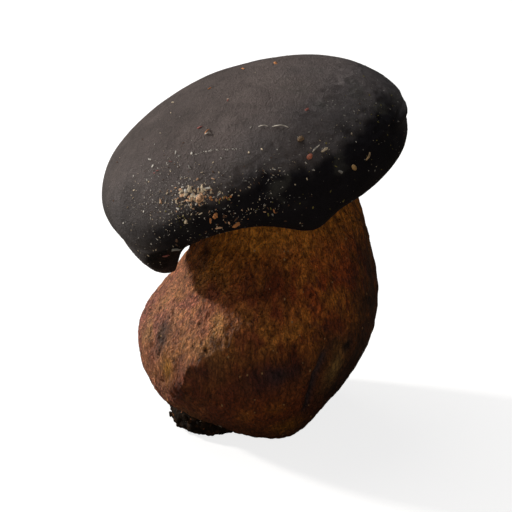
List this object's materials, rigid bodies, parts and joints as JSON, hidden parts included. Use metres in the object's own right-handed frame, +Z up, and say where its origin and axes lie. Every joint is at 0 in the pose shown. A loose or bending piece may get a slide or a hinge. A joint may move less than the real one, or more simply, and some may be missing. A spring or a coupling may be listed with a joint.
{
  "type": "bolete mushroom",
  "caption": "Picked bolete mushroom with a dark domed tilted cap, a ring of tubes beneath it, a stout pear-shaped stem, crumbs on the cap and soil at the base.",
  "frame": {"origin": "centre of the flat at the stem's foot, on which the mushroom rests", "axes": "+Z up, from the resting flat towards the cap; +X to the right and +Y to the back, with the cap tilted down towards -X"},
  "size_m": [0.102, 0.1008, 0.1236],
  "materials": {
    "stem_skin": "matt fibrous skin, ochre flushed with red brown, finely streaked and dotted",
    "cap_skin": "dry velvety black-brown skin with a soft low sheen",
    "pore_tubes": "matt dull orange to olive-yellow pores",
    "dark_soil": "matt crumbly black-brown humus",
    "tan_crumb": "matt tan crumbs of bark and soil",
    "brown_crumb": "matt brown crumb",
    "seed_husk": "slightly smooth seed husk",
    "dry_straw": "matt dry straw and needle bits"
  },
  "bodies": {
    "root": {"stem": "stem_skin", "cap": "cap_skin", "pore_layer": "pore_tubes", "soil_clod": "dark_soil", "tan_crumb_large": "tan_crumb", "tan_crumb_small": "tan_crumb", "tan_crumb_low": "tan_crumb", "brown_crumb": "brown_crumb", "seed_left": "seed_husk", "seed_right": "seed_husk", "needle_upper": "dry_straw", "needle_lower": "dry_straw", "straw_flake": "dry_straw"}
  },
  "joints": []
}
